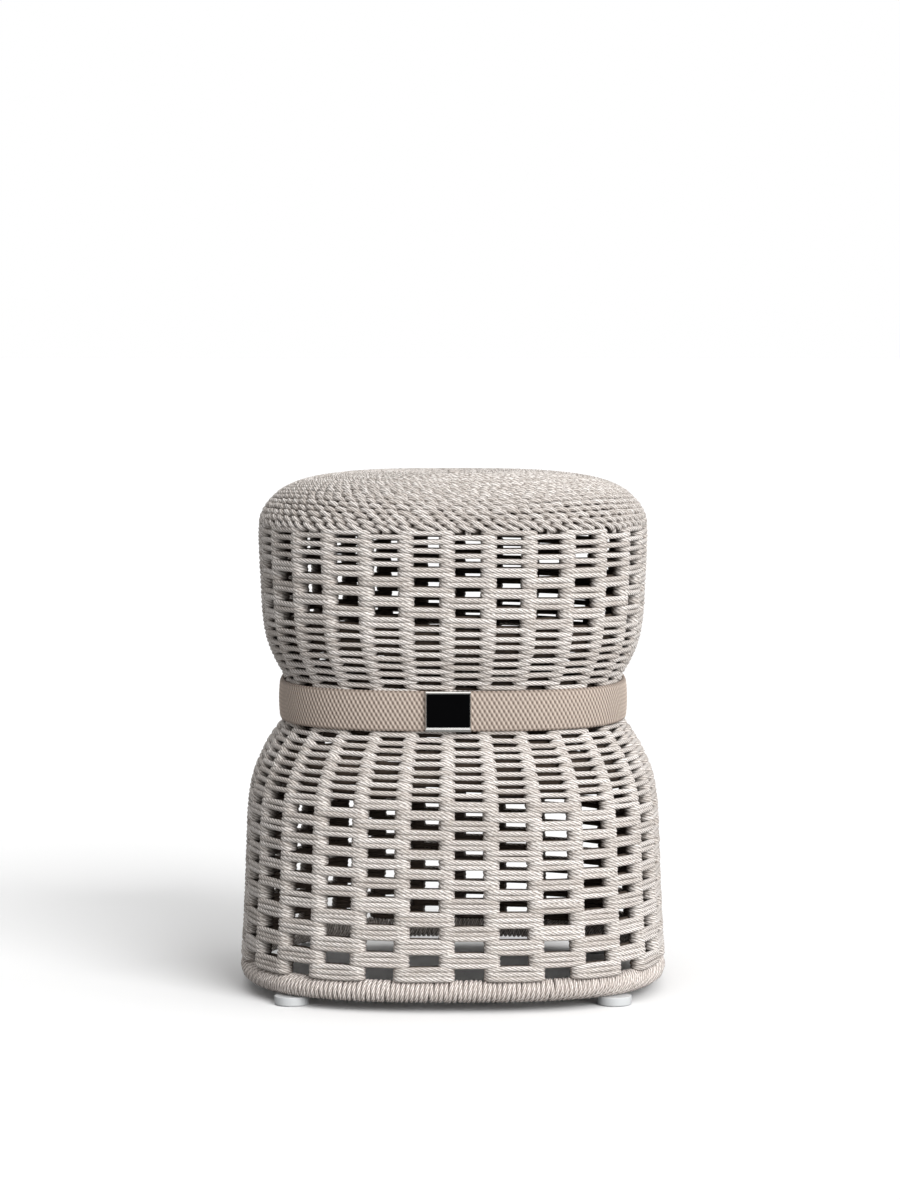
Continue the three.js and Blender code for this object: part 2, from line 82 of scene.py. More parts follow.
# %% Helpers for colours and nodes
def colour(code):
    """Linear RGBA of an sRGB hex colour."""
    shares = [int(code[i:i + 2], 16) / 255 for i in (0, 2, 4)]
    return (*[c / 12.92 if c <= 0.04045 else ((c + 0.055) / 1.055) ** 2.4 for c in shares], 1)


def add(tree, kind, inputs=None, **settings):
    """Adds a node. An input is a plain value, a socket, or a node whose first output is meant."""
    node = tree.nodes.new(kind)
    for name, value in settings.items():
        setattr(node, name, value)
    for key, value in (inputs or {}).items():
        if isinstance(value, bpy.types.Node):
            value = value.outputs[0]
        if isinstance(value, bpy.types.NodeSocket):
            tree.links.new(value, node.inputs[key])
        else:
            node.inputs[key].default_value = value
    return node


def new_material(name):
    """A material and its empty node tree."""
    material = bpy.data.materials.new(name)
    material.use_nodes = True
    material.node_tree.nodes.clear()
    return material, material.node_tree


def surface(tree, tone, roughness, height, depth, strength, **others):
    """Ends a finish: its tone, its roughness, and a relief from a height, with its depth in mm."""
    bump = add(tree, "ShaderNodeBump", {"Height": height, "Distance": depth * mm, "Strength": strength})
    inputs = {"Base Color": tone, "Roughness": roughness, "Normal": bump, **others}
    add(tree, "ShaderNodeOutputMaterial", {"Surface": add(tree, "ShaderNodeBsdfPrincipled", inputs)})


def put(name, data):
    """An object with this data, a mesh or a light, placed in the scene."""
    made = bpy.data.objects.new(name, data)
    bpy.context.scene.collection.objects.link(made)
    return made


print("linear mid grey:", round(colour("808080")[0], 3))

# %% [markdown]
# ## Rope finish
# The rope is laid from strands of spun polyolefin yarn, a plastic fibre for outdoors. It is coloured in the
# mass and has short, loose ends, so it is matt and warm grey, without any shine. Each rope mesh carries how
# far along the rope a point is and where on its round section. A cosine of the two draws the strands, which
# then follow every bend, as a pattern in space couldn't, and a painted shade darkens the grooves between
# them.
# The real strands come about 3.2 mm apart, too fine for the render, so they are drawn coarser. Noise bends
# them, as on a rope pulled tight by hand, and grains their tone. Where a rope is on the inside of the weave,
# and on the hidden half of each seat strand, a dark brown painted shade is mixed in, because light is lost
# there.

# %% Rope material
# Negative, because the strands slope like the middle stroke of an S
strand_count = -6
strand_spacing = 4.8
groove_range = (-1.1, 0.1)
# Sizes in mm, each with how strongly it counts
wobble_size, wobble = 3.5, 3.0
grain_size, grain_share = 2.2, 3.0
fuzz_size, fuzz_share, fuzz_relief = 0.6, 1.5, 0.8
patch_size = 14
tone_range = (2.4, 4.1)
yarn_roughness = 0.85
relief_depth, relief_strength = 0.4, 0.7
# Painted shade: the dark brown mixed into the ropes on the inner side of the weave, where light is lost
painted_inner_shade = "55483e"


def rope_material(name, light, dark, groove_shade):
    """Laid rope: sloping strands with painted shade in the grooves between them, uneven tone, a dark brown
    painted shade on the inner side and a fuzzy, matt surface.
    """
    material, tree = new_material(name)
    along, tone, painted_shade = [add(tree, "ShaderNodeAttribute", attribute_name=carried).outputs["Fac"]
                           for carried in ("along", "tone", "painted_shade")]
    section = add(tree, "ShaderNodeAttribute", attribute_name="section").outputs["Vector"]
    parts = add(tree, "ShaderNodeSeparateXYZ", {0: section})
    turn = add(tree, "ShaderNodeMath", {0: parts.outputs["Y"], 1: parts.outputs["X"]}, operation="ARCTAN2")
    place = add(tree, "ShaderNodeTexCoord").outputs["Object"]
    bends, grain, fuzz, patches = [
        add(tree, "ShaderNodeTexNoise", {"Vector": place, "Scale": 1 / (size * mm), "Detail": 2.0})
        for size in (wobble_size, grain_size, fuzz_size, patch_size)]
    round_phase = add(tree, "ShaderNodeMath", {0: turn, 1: strand_count}, operation="MULTIPLY")
    bent_phase = add(tree, "ShaderNodeMath", {0: bends, 1: wobble, 2: round_phase}, operation="MULTIPLY_ADD")
    phase = add(tree, "ShaderNodeMath", {0: along, 1: 2 * math.pi / (strand_spacing * mm), 2: bent_phase},
                operation="MULTIPLY_ADD")
    wave = add(tree, "ShaderNodeMath", {0: phase}, operation="COSINE")
    strand = add(tree, "ShaderNodeMapRange",
                 {"Value": wave, "From Min": groove_range[0], "From Max": groove_range[1]})
    uneven = add(tree, "ShaderNodeMath", {0: patches, 1: tone}, operation="ADD")
    grainy = add(tree, "ShaderNodeMath", {0: grain, 1: grain_share, 2: uneven}, operation="MULTIPLY_ADD")
    ragged = add(tree, "ShaderNodeMath", {0: fuzz, 1: fuzz_share, 2: grainy}, operation="MULTIPLY_ADD")
    shade = add(tree, "ShaderNodeMapRange",
                {"Value": ragged, "From Min": tone_range[0], "From Max": tone_range[1]})
    yarn = add(tree, "ShaderNodeMixRGB", {"Fac": shade, "Color1": colour(dark), "Color2": colour(light)})
    # Painted shade: the grooves between the strands are mixed towards a dark colour
    outer = add(tree, "ShaderNodeMixRGB", {"Fac": strand, "Color1": colour(groove_shade), "Color2": yarn})
    # Painted shade: the inner side of the weave is mixed towards dark brown
    finish = add(tree, "ShaderNodeMixRGB", {"Fac": painted_shade, "Color1": outer, "Color2": colour(painted_inner_shade)})
    relief = add(tree, "ShaderNodeMath", {0: fuzz, 1: fuzz_relief, 2: strand}, operation="MULTIPLY_ADD")
    surface(tree, finish, yarn_roughness, relief, relief_depth, relief_strength)
    return material


# The light, the dark and the groove colour, which is painted shade. The rope round the base is a touch
# warmer.
rope_finish = rope_material("laid_rope", "faf5f1", "cac2bb", "83786f")
wrap_finish = rope_material("laid_rope_wrap", "fbf3ee", "c6bbb3", "84776d")
print("rope materials:", rope_finish.name, wrap_finish.name)

# %% [markdown]
# ## The stool's outline
# The weave has the same rounded-square plan at every height, a superellipse, and one outline from the base
# ring over the waist to the middle of the seat. Both are kept as functions, so that any piece of rope can
# ask where a point of the surface is, and which way is outward and up there. Round the plan, places are
# given as shares of its length, because the posts stand at equal distances and not at equal angles.

# %% Plan and outline
rope_thickness = 4.6
column_count = 32
first_column_share = 0.36
plan_exponent = 2.75
# Half width and height in mm, from the base ring up to the middle of the seat
outline_points = [
    (186.0, 27), (184.4, 52), (182.9, 85), (181.3, 130), (180.3, 156), (178.6, 171), (175.6, 184.5),
    (170.6, 197), (163.8, 210.5), (155.6, 222.5), (150.6, 229.5), (148.2, 235), (147.4, 242), (147.4, 258),
    (148.3, 265), (150.2, 271.5), (154.2, 278.7), (158.4, 287), (162, 295.5), (164.8, 305), (166.6, 315),
    (168, 328), (169.2, 350), (170.6, 378), (170.8, 399), (169.7, 408.5), (167.5, 414.3), (164.4, 419.3),
    (159.8, 424.5), (153.6, 430), (145, 434.8), (130, 440), (107, 444), (80, 446.4), (55, 447), (25, 445.6),
    (0, 444.6),
]


def smooth_line(points, step=0.5):
    """A smooth curve through a few points, as points about a step apart."""
    points = np.array(points, float)
    gaps = np.linalg.norm(np.diff(points, axis=0), axis=1)
    knots = np.concatenate([[0], np.cumsum(gaps)])
    slopes = np.gradient(points, knots, axis=0)
    places = np.linspace(0, knots[-1], int(knots[-1] / step))
    i = np.clip(np.searchsorted(knots, places, side="right") - 1, 0, len(gaps) - 1)
    width = gaps[i][:, None]
    t = ((places - knots[i]) / gaps[i])[:, None]
    ease = t * t * (3 - 2 * t)
    start = t * (1 - t) ** 2 * width * slopes[i]
    end = t * t * (t - 1) * width * slopes[i + 1]
    return (1 - ease) * points[i] + ease * points[i + 1] + start + end


outline = smooth_line(outline_points)
outline_lengths = np.concatenate([[0], np.cumsum(np.linalg.norm(np.diff(outline, axis=0), axis=1))])
outline_slopes = np.gradient(outline, outline_lengths, axis=0)
print("outline length in mm:", round(outline_lengths[-1]))

# %% Places on the outline
def length_at_height(height):
    """How far up the outline a height on the walls is."""
    walls = slice(0, int(np.argmax(outline[:, 1])))
    return np.interp(height, outline[walls, 1], outline_lengths[walls])


def reach_at(length):
    """The half width of the plan at a place on the outline."""
    return np.interp(length, outline_lengths, outline[:, 0])


def height_at(length):
    """The height of a place on the outline."""
    return np.interp(length, outline_lengths, outline[:, 1])


def plan_place(angle):
    """The plan's point at a polar angle, for a half width of 1, and the outward direction there."""
    cosine, sine = np.cos(angle), np.sin(angle)
    reach = (np.abs(cosine) ** plan_exponent + np.abs(sine) ** plan_exponent) ** (-1 / plan_exponent)
    point = np.stack([reach * cosine, reach * sine], -1)
    out = np.sign(point) * np.abs(point) ** (plan_exponent - 1)
    return point, out / np.linalg.norm(out, axis=-1, keepdims=True)


fine_count = 8192
fine_angles = np.linspace(0, 2 * np.pi, fine_count + 1) - np.pi / 2
fine_steps = np.linalg.norm(np.diff(plan_place(fine_angles)[0], axis=0), axis=1)
fine_shares = np.concatenate([[0], np.cumsum(fine_steps)]) / fine_steps.sum()
plan_perimeter = fine_steps.sum()


def angle_at_share(share):
    """The polar angle at a share of the way round the plan, from the front middle and rightwards."""
    return np.interp(np.mod(share, 1), fine_shares, fine_angles)


def column_angle(column):
    """The angle at a column's middle, where columns are counted from 0 and halves are posts."""
    return angle_at_share((first_column_share + np.asarray(column)) / column_count)


def surface_place(angle, length, depth=0.0):
    """A point under the weave's surface in mm, and the outward and upward directions there."""
    angle, length = np.broadcast_arrays(np.asarray(angle, float), np.asarray(length, float))
    unit, out = plan_place(angle)
    across = np.interp(length, outline_lengths, outline_slopes[:, 0]) * (unit * out).sum(-1)
    rise = np.interp(length, outline_lengths, outline_slopes[:, 1])
    outward = np.concatenate([out * rise[..., None], -across[..., None]], -1)
    upward = np.concatenate([out * across[..., None], rise[..., None]], -1)
    outward /= np.linalg.norm(outward, axis=-1, keepdims=True)
    upward /= np.linalg.norm(upward, axis=-1, keepdims=True)
    point = np.concatenate([unit * reach_at(length)[..., None], height_at(length)[..., None]], -1)
    return point - np.asarray(depth)[..., None] * outward, outward, upward


print("perimeter for a half width of 1:", round(plan_perimeter, 3))

# %% [markdown]
# ## How a rope is made
# A rope is a round section swept along a line, and the stool has about two thousand of them. A bevelled
# curve could make each one, but couldn't flatten it. So Geometry Nodes sweep them all with one tree: a mesh
# of bare edges holds the lines, each point with its own attributes, and the tree turns them into curves,
# sweeps a circle and flattens the rope where its neighbours press on it.

# %% The tree that sweeps ropes
def sweep_tree():
    """Sweeps a round rope along every line, flat across its pressed direction by the share kept there."""
    tree = bpy.data.node_groups.new("sweep_ropes", "GeometryNodeTree")
    tree.interface.new_socket("Geometry", in_out="OUTPUT", socket_type="NodeSocketGeometry")
    for name, kind in (("Geometry", "Geometry"), ("Thickness", "Float"),
                       ("Sides", "Int"), ("Finish", "Material")):
        tree.interface.new_socket(name, in_out="INPUT", socket_type="NodeSocket" + kind)
    given = add(tree, "NodeGroupInput").outputs
    pressed, centre, keep = [
        add(tree, "GeometryNodeInputNamedAttribute", {"Name": name}, data_type=kind)
        for name, kind in (("pressed", "FLOAT_VECTOR"), ("centre", "FLOAT_VECTOR"), ("keep", "FLOAT"))]
    place = add(tree, "GeometryNodeInputPosition")
    lines = add(tree, "GeometryNodeMeshToCurve", {"Mesh": given["Geometry"]})
    marked = add(tree, "GeometryNodeStoreNamedAttribute",
                 {"Geometry": lines, "Name": "centre", "Value": place}, data_type="FLOAT_VECTOR")
    turned = add(tree, "GeometryNodeSetCurveNormal", {"Curve": marked, "Normal": pressed}, mode="FREE")
    radius = add(tree, "ShaderNodeMath", {0: given["Thickness"], 1: 0.5}, operation="MULTIPLY")
    circle = add(tree, "GeometryNodeCurvePrimitiveCircle", {"Resolution": given["Sides"], "Radius": radius})
    section = add(tree, "GeometryNodeStoreNamedAttribute",
                  {"Geometry": circle, "Name": "section", "Value": place}, data_type="FLOAT_VECTOR")
    swept = add(tree, "GeometryNodeCurveToMesh",
                {"Curve": turned, "Profile Curve": section, "Fill Caps": True})
    offset = add(tree, "ShaderNodeVectorMath", {0: place, 1: centre}, operation="SUBTRACT")
    side = add(tree, "ShaderNodeVectorMath", {0: offset, 1: pressed}, operation="DOT_PRODUCT")
    change = add(tree, "ShaderNodeMath", {0: keep, 1: 1.0}, operation="SUBTRACT")
    amount = add(tree, "ShaderNodeMath", {0: side.outputs["Value"], 1: change}, operation="MULTIPLY")
    shift = add(tree, "ShaderNodeVectorMath", {0: pressed, "Scale": amount}, operation="SCALE")
    flat = add(tree, "GeometryNodeSetPosition", {"Geometry": swept, "Offset": shift})
    tidy = add(tree, "GeometryNodeRemoveAttribute", {"Geometry": flat, "Name": "centre"})
    smooth = add(tree, "GeometryNodeSetShadeSmooth", {0: tidy})
    real = add(tree, "GeometryNodeRealizeInstances", {0: smooth})
    painted = add(tree, "GeometryNodeSetMaterial", {"Geometry": real, "Material": given["Finish"]})
    add(tree, "NodeGroupOutput", {"Geometry": painted})
    return tree


rope_tree = sweep_tree()
print("tree:", rope_tree.name, len(rope_tree.nodes), "nodes")

# %% [markdown]
# Running the tree is the same for every piece. The lines go in as a mesh object, the inputs are set by their
# identifiers, and the result becomes a plain mesh on a fresh object, with no modifier left. Each rope gets a
# tone of its own and its own start in the strand pattern, so that no two look alike.

# %% Run the tree on lines
def lines_object(name, runs, attributes):
    """Lines as a mesh of bare edges. runs is (lines, points, 3) in mm; attributes go on its points."""
    lines, points = runs.shape[:2]
    here = np.arange(lines)[:, None] * points + np.arange(points - 1)
    edges = np.stack([here, here + 1], -1).reshape(-1, 2)
    mesh = bpy.data.meshes.new(name)
    mesh.vertices.add(lines * points)
    mesh.vertices.foreach_set("co", (runs * mm).astype(np.float32).ravel())
    mesh.edges.add(len(edges))
    mesh.edges.foreach_set("vertices", edges.astype(np.int32).ravel())
    for key, values in attributes.items():
        is_vector = values.shape[-1:] == (3,) and values.ndim == 3
        shape = (lines, points, 3) if is_vector else (lines, points)
        data = mesh.attributes.new(key, "FLOAT_VECTOR" if is_vector else "FLOAT", "POINT").data
        data.foreach_set("vector" if is_vector else "value",
                         np.broadcast_to(values, shape).astype(np.float32).ravel())
    return put(name, mesh)


def applied(source, name):
    """The mesh that an object's modifiers make of it."""
    mesh = bpy.data.meshes.new_from_object(source.evaluated_get(bpy.context.evaluated_depsgraph_get()))
    mesh.name = name
    return mesh


def run_tree(source, name, tree, **inputs):
    """Runs a tree on an object, and leaves a fresh object with the plain mesh that comes out."""
    modifier = source.modifiers.new("tree", "NODES")
    modifier.node_group = tree
    for socket in tree.interface.items_tree:
        if socket.item_type == "SOCKET" and socket.in_out == "INPUT" and socket.name in inputs:
            modifier[socket.identifier] = inputs[socket.name]
    mesh = applied(source, name)
    bpy.data.objects.remove(source)
    return put(name, mesh)


print("inputs:", [socket.name for socket in rope_tree.interface.items_tree if socket.in_out == "INPUT"])

# %% Ropes from lines
start_spread = 40


def distances(runs, closed):
    """How far along its line each point is, in metres. Round a closed line, the strands come out whole."""
    steps = np.linalg.norm(np.diff(runs, axis=1), axis=2)
    along = np.concatenate([np.zeros((len(runs), 1)), np.cumsum(steps, axis=1)], axis=1)
    if closed:
        whole = np.maximum(np.round(along[:, -1:] / strand_spacing), 1) * strand_spacing
        along = along / along[:, -1:] * whole
    return along * mm


def ropes(name, runs, closed, pressed, keep, finish, thickness=rope_thickness, sides=8, seed=1, painted_shade=None):
    """Ropes along lines, as one piece. A closed line ends on its first point, where its two ends meet."""
    random = np.random.default_rng(seed)
    tones = random.random((len(runs), 1))
    start = random.random((len(runs), 1)) * start_spread * mm
    # How much painted shade each point gets, from none to the full dark brown
    painted_shade = np.zeros(runs.shape[:2]) if painted_shade is None else painted_shade
    if closed:
        runs, pressed, keep, painted_shade = [np.concatenate([each, each[:, :1]], axis=1)
                                       for each in (runs, pressed, keep, painted_shade)]
    attributes = {"pressed": pressed, "keep": keep, "along": distances(runs, closed) + start,
                  "tone": tones, "painted_shade": painted_shade}
    made = run_tree(lines_object(name + "_lines", runs, attributes), name, rope_tree,
                    Thickness=thickness * mm, Sides=sides, Finish=finish)
    print(name, "has", len(runs), "ropes and", len(made.data.polygons), "faces")
    return made


def dress(piece, slot, *nodes):
    """The piece moves with the stool and stands for these solids, which are hidden. The slot argument is not
    used.
    """
    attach(piece, "root")
    if nodes:
        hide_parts(*nodes)


print("strands along a metre of rope:", round(1 / (strand_spacing * mm)))

# %% [markdown]
# ## The walls
# Every column of the walls is a stack of bands, and each band is one, two or three ropes wound round the two
# posts beside it. Neighbouring columns take turns up a shared post, so a band in one column faces a window
# in the next. Bands of three come first, then of two, then single ropes through the waist, and above it bands
# of two between single ropes. A pitch is the height of a band on a post, where its ropes are pressed
# together. The bands are counted off here once, for all the posts.

# %% Bands of the walls
triple_pitch, double_pitch, single_pitch = 11.3, 8.2, 3.85
upper_double_pitch, upper_single_pitch = 8.6, 3.9
lower_triples, lower_doubles, upper_doubles = 6, 10, 6
waist_height = 249.5
upper_doubles_height = 324.5
wall_top_height = 405.5
# How far the single ropes under the upper doubles reach into them
band_overlap = 0.7


def wall_bands():
    """Bands up one post: (length up the outline, pitch, ropes, parity of the columns that have it)."""
    bands = []

    def add_singles(edge, end, pitch, parity):
        """Single ropes from an edge towards an end, upwards or downwards."""
        step = math.copysign(pitch, end - edge)
        while abs(end - edge) > pitch:
            bands.append((edge + step / 2, pitch, 1, parity))
            edge += step
            parity = 1 - parity

    edge = 0.0
    for i in range(lower_triples + lower_doubles):
        count, pitch = (3, triple_pitch) if i < lower_triples else (2, double_pitch)
        bands.append((edge + pitch / 2, pitch, count, (i + 1) % 2))
        edge += pitch
    waist, top = length_at_height(waist_height), length_at_height(wall_top_height)
    add_singles(edge, waist, single_pitch, 1)
    first_double = length_at_height(upper_doubles_height)
    for i in range(upper_doubles):
        bands.append((first_double + i * upper_double_pitch, upper_double_pitch, 2, i % 2))
    add_singles(first_double - upper_double_pitch / 2 + band_overlap, waist, single_pitch, 1)
    add_singles(first_double + (upper_doubles - 0.5) * upper_double_pitch, top, upper_single_pitch, 0)
    return bands


bands = wall_bands()
print("bands up one post:", len(bands))

# %% [markdown]
# One rope's line starts behind the middle of its column, turns round the left post, crosses the front, turns
# round the right post and comes back. It is squeezed between its neighbours at the posts and opens to full
# thickness between them. Weaving by hand leaves it uneven, so each rope sags, leans and swells by small
# random amounts from a fixed seed, and on the front the rows sink towards the right. Modelling one band and
# copying it would be quicker, but the evenness would show.

# %% Lines of the wall ropes
post_radius = 2.5
clearance = 0.3
turn_radius = post_radius + rope_thickness / 2 + clearance
turn_points = 6
post_depth = turn_radius + rope_thickness / 2
# How far from a post, and the share by which the rope has opened there
open_stations = ((3.6, 0.3), (7.8, 0.95))
open_spacing = 4.3
single_height = 4.05
end_squeeze = 0.25
# Ropes press into each other, so each is a little thicker than its share of the height, most at the turns
row_overlap, turn_overlap = 1.06, 0.2
# How fast the painted shade grows on the inner side of a wall rope
inward_shade_share = 1.25
sag_spread, lean_spread, wander_spread, swell_spread = (0.26, 0.2), 0.16, 0.1, 0.03
row_sink = 2.55
# The share of row_sink at a few heights
row_slopes = ((30, 0.0), (60, 0.5), (105, 1.2), (200, 1.5), (245, 1.0), (380, 1.0), (404, 0.0))


def row_shift(angle, length):
    """How far up from the level a row lies: on the front it sinks to the right."""
    share = np.interp(height_at(length), *zip(*row_slopes))
    return -share * row_sink * np.cos(angle)


def wall_lines(chosen, columns, seed):
    """Closed lines round two posts each, with how pressed the rope is at each point."""
    random = np.random.default_rng(seed)
    rows = [(column, length, pitch, count, index)
            for length, pitch, count, parity in chosen
            for column in columns if column % 2 == parity
            for index in range(count)]
    column, length, pitch, count, index = np.array(rows, float).T
    ends = []
    for side in (-0.5, 0.5):
        angle = column_angle(column + side)
        ends.append(surface_place(angle, length + row_shift(angle, length), post_depth))
    (left, left_out, _), (right, right_out, _) = ends
    along = right - left
    span = np.linalg.norm(along, axis=1, keepdims=True)
    along = along / span
    out = left_out + right_out
    out -= (out * along).sum(1, keepdims=True) * along
    out /= np.linalg.norm(out, axis=1, keepdims=True)
    up = np.cross(out, along)
    turns = np.radians(np.linspace(0, 180, turn_points))
    sag = random.normal(0, sag_spread, (len(rows), 2))
    lean = random.normal(0, lean_spread, (len(rows), 1))
    swell = random.normal(1, swell_spread, (len(rows), 1))
    # Half of the line, from the middle of the back: how far along, how far out, and how far opened
    half = [(span / 2, -1.0, 1.0), (open_stations[1][0], -1.0, 1.0)]
    half += [(-turn_radius * math.sin(turn), math.cos(turn), -end_squeeze * math.sin(turn))
             for turn in turns[::-1]]
    half += [(distance, 1.0, share) for distance, share in open_stations]
    stations = [(left, along, *station) for station in half + [(span / 2, 1.0, 1.0)]]
    stations += [(right, -along, *station) for station in half[:0:-1]]
    runs = np.stack([post + inwards * sideways + outward * turn_radius * out
                     for post, inwards, sideways, outward, _ in stations], 1)
    opened = np.array([station[4] for station in stations])
    # Painted shade: how far each point lies on the inner side of the wall, for the dark brown of the rope
    # finish
    painted_shade = [min(max(-inward_shade_share * station[3], 0.0), 1.0) for station in stations]
    is_band = (count > 1)[:, None]
    open_height = np.where(is_band, open_spacing, single_height)
    height = (pitch / count)[:, None] * (1 - opened) + open_height * opened
    offset = (index - (count - 1) / 2)[:, None] * height
    towards_right = ((runs - (left + right)[:, None] / 2) * along[:, None]).sum(2) / (span / 2)
    wander = random.normal(0, wander_spread, (len(rows), 1))
    rise = offset + sag[:, :1] * opened + lean * towards_right + wander
    runs = runs + rise[..., None] * up[:, None] + (sag[:, 1:] * opened)[..., None] * out[:, None]
    keep = swell * height / rope_thickness * (row_overlap + turn_overlap * (1 - opened))
    return runs, np.repeat(up[:, None], len(opened), 1), keep, np.tile(painted_shade, (len(rows), 1))


print("depth of the posts in mm:", post_depth)

# %% Walls
lower_bands = [band for band in bands if band[0] < length_at_height(waist_height)]
upper_bands = [band for band in bands if band[0] >= length_at_height(waist_height)]
walls = {}
for wall, chosen in (("lower", lower_bands), ("upper", upper_bands)):
    for word, parity in (("even", 0), ("odd", 1)):
        runs, pressed, keep, painted_shade = wall_lines(chosen, range(parity, column_count, 2), len(walls) + 1)
        name = f"{wall}_bands_{word}_columns"
        walls[name] = ropes(name, runs, True, pressed, keep, rope_finish,
                            seed=10 + len(walls), painted_shade=painted_shade)
        dress(walls[name], "rope", f"{wall}_woven_wall")

# %% [markdown]
# ## The seat
# Past the rim the ropes change to twining: two strands run round together and swap places at every step, one
# in front and one behind, so that the top shows short lobes. Each row is a ring of the plan, a rope's width
# from the next. It could be one long spiral, but rings can be thinned out: nearer the middle a row has fewer
# steps, so that its lobes stay longer than the rope is thick, and rounder corners. At the rim the rows are
# looser, and their lobes lean more. One wave round the ring gives a strand's depth, its lean and its shade.

# %% Seat rows
row_pitch = 5.0
wall_top_length = max(length + pitch / 2 for length, pitch, count, parity in bands)
seat_start_length = wall_top_length + rope_thickness / 2
seat_end_reach = 8.0
# Least reach of a row in mm, and how many steps a row that far out has
step_counts = ((100, 96), (66, 64), (33, 32), (0, 16))
points_per_step = 6
seat_sides = 7
posts_end_reach = 66
# How deep a strand dips behind a post, between the posts, and past their ends
behind_post_depth, behind_spoke_depth, behind_crown_depth = 12.3, 8.1, 8.6
dip_power = 1.6
lobe_flatness = 0.6
lobe_lean, rim_lean = 0.55, 1.5
corner_count, corner_growth, corner_rise_share = 4, 0.27, 0.09
# Unevenness: random waves, each with this many more turns round the row than the one before
wave_count, row_wave, step_wave = 8, 4, 3
row_wander, step_shift, step_wander = 0.2, 0.1, 0.07
# The rows are three pieces, with their limits here, so that none has too many faces
crown_reach, middle_reach = 130.0, 90.0


def row_lengths():
    """Where the rows lie along the outline."""
    places = []
    length = seat_start_length
    while reach_at(length) > seat_end_reach:
        places.append(length)
        length += row_pitch
    return places


def round_wave(turns, random):
    """A wave that starts anywhere, with whole turns round the row."""
    return np.cos(2 * np.pi * (turns + random.random()))


def seat_row(row_length, number, random):
    """The two strands of one row, as lines round the plan that are rounder than it nearer the middle."""
    reach = reach_at(row_length)
    steps = next(steps for least, steps in step_counts if reach > least)
    share = np.arange(steps * points_per_step) / (steps * points_per_step)
    angle = angle_at_share(share + 0.5 + first_column_share / column_count)
    past_rim = row_length - seat_start_length
    corner_rise = min(corner_growth * past_rim, corner_rise_share * reach)
    length = row_length + corner_rise * (1 - np.cos(corner_count * angle)) / 2
    inner_depth = behind_crown_depth
    if reach > posts_end_reach:
        on_spoke = np.cos(np.pi * share * column_count) ** 2
        inner_depth = behind_post_depth + (behind_spoke_depth - behind_post_depth) * on_spoke
    wander, shift = np.zeros(len(share)), np.full(len(share), random.normal(0, step_shift))
    for wave in range(1, wave_count + 1):
        wander += random.normal(0, row_wander) * round_wave(wave * row_wave * share, random)
        shift += random.normal(0, step_wander) * round_wave(wave * step_wave * share, random)
    lean = lobe_lean + rim_lean * math.exp(-past_rim / (2 * row_pitch))
    runs, painted_shade = [], []
    for strand in (0, 1):
        # The two strands are a step apart, and neighbouring rows half a step
        phase = np.pi * (share * steps + strand + number % 2 / 2 + shift)
        wave = np.cos(phase)
        hidden = (1 - np.sign(wave) * np.abs(wave) ** lobe_flatness) / 2
        depth = rope_thickness / 2 + hidden ** dip_power * (inner_depth - rope_thickness / 2)
        point, _, upward = surface_place(angle, length, depth)
        runs.append(point + (wander - lean * np.sin(phase))[:, None] * upward)
        # Painted shade: the hidden half of each strand is mixed towards dark brown
        painted_shade.append(hidden)
    return np.stack(runs), np.stack([upward, upward]), np.stack(painted_shade)


def join(name, parts):
    """Joins pieces that share a finish into one."""
    with bpy.context.temp_override(active_object=parts[0], selected_editable_objects=parts):
        bpy.ops.object.join()
    parts[0].name = parts[0].data.name = name
    return parts[0]


def seat_rows(name, keep_row, seed):
    """All the rows that keep_row takes, as one piece."""
    random = np.random.default_rng(seed)
    groups = {}
    for number, length in enumerate(row_lengths()):
        if keep_row(reach_at(length)):
            row = seat_row(length, number, random)
            groups.setdefault(row[0].shape[1], []).append(row)
    parts = []
    for count, rows in groups.items():
        runs, pressed, painted_shade = [np.concatenate(each) for each in zip(*rows)]
        parts.append(ropes(f"{name}_{count}", runs, True, pressed, np.ones(runs.shape[:2]), rope_finish,
                           sides=seat_sides, seed=seed + count, painted_shade=painted_shade))
    return join(name, parts)


print("seat rows:", len(row_lengths()))

# %% Seat pieces
seat_shoulder = seat_rows("seat_shoulder_rows", lambda reach: reach > crown_reach, 21)
seat_crown = seat_rows("seat_crown_rows", lambda reach: middle_reach < reach <= crown_reach, 22)
seat_middle = seat_rows("seat_middle_rows", lambda reach: reach <= middle_reach, 23)
for piece in (seat_shoulder, seat_crown, seat_middle):
    dress(piece, "rope", "seat_woven_cover")

# %% [markdown]
# The radial strands are thinner cords in pairs, from the last bands of the wall to the knot. They show in the
# small gaps at the rim and from below. Within spoke_close_reach of the middle a column is too narrow for two
# cords side by side, so there each pair closes up as its column does.

# %% Radial strands
spoke_thickness, spoke_sides = 2.6, 6
spoke_depth = 5.2
spoke_start_length = wall_top_length - upper_single_pitch
spoke_end_gap = 3.0
spoke_close_reach = 30
spoke_step = 4.0


def spoke_lines():
    """A pair of lines for each column, over the rim to the middle."""
    end = outline_lengths[-1] - spoke_end_gap
    lengths = np.linspace(spoke_start_length, end, int((end - spoke_start_length) / spoke_step))
    reach = np.maximum(reach_at(lengths), spoke_close_reach)
    runs, pressed = [], []
    for column in range(column_count):
        for side in (-1, 1):
            beside = side * spoke_thickness / 2 / (plan_perimeter * reach / column_count)
            point, outward, upward = surface_place(column_angle(column + beside), lengths, spoke_depth)
            runs.append(point)
            pressed.append(outward)
    return np.array(runs), np.array(pressed)


spoke_runs, spoke_pressed = spoke_lines()
spokes = ropes("seat_spokes", spoke_runs, False, spoke_pressed, np.ones(spoke_runs.shape[:2]), rope_finish,
               thickness=spoke_thickness, sides=spoke_sides, seed=31)
dress(spokes, "rope", "seat_woven_cover")

